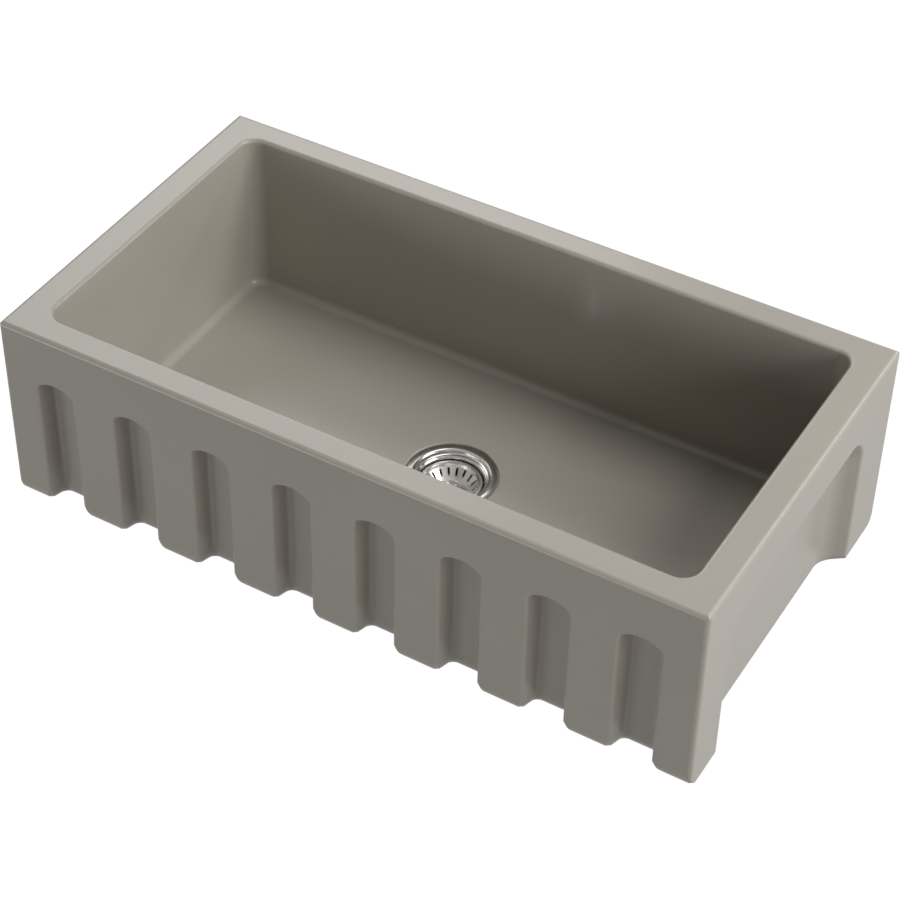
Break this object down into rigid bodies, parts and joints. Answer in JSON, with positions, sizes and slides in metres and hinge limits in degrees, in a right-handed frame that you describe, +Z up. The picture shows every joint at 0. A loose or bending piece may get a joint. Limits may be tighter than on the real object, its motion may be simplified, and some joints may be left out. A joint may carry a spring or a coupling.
{
  "type": "farmhouse apron front kitchen sink",
  "caption": "Single-bowl farmhouse apron front kitchen sink in glazed fireclay, with a fluted apron, recessed ends and a lift-out basket strainer over a tailpiece.",
  "frame": {"origin": "centre of the flat foot that rests on the cabinet, at the foot's level, midway across the width and the depth of the sink body", "axes": "+X to the right along the apron as seen from the front, +Y from the apron to the rear wall, +Z up out of the basin"},
  "size_m": [0.838, 0.457, 0.387],
  "materials": {
    "fireclay_glaze": "satin glaze, warm grey taupe",
    "putty": "dull grey sealant",
    "strainer_steel": "polished stainless steel",
    "basket_steel": "polished stainless steel",
    "knob_steel": "polished stainless steel, turned",
    "stopper_rubber": "matt black",
    "gasket_rubber": "matt black",
    "fibre": "pressed fibre, dry",
    "nut_zinc": "die-cast zinc, satin",
    "stem_steel": "plain steel",
    "stem_brass": "plain brass",
    "tail_chrome": "bright chrome plate",
    "white_nylon": "natural nylon"
  },
  "bodies": {
    "sink": {"sink_body": "fireclay_glaze", "putty_ring": "putty", "strainer_body": "strainer_steel", "stem_guide": "nut_zinc", "body_gasket": "gasket_rubber", "friction_ring": "fibre", "lock_nut": "nut_zinc", "tail_washer": "white_nylon", "tailpiece": "tail_chrome", "coupling_nut": "nut_zinc"},
    "basket": {"basket_cup": "basket_steel", "knob": "knob_steel", "stem": "stem_steel", "stopper": "stopper_rubber", "stopper_plate": "stem_steel", "stem_nut": "stem_brass", "stem_collet": "stem_steel"}
  },
  "joints": [
    {"name": "basket_lift", "type": "slide", "parent": "sink", "child": "basket", "axis": [0, 0, 1], "range_m": [0, 0.3]}
  ]
}
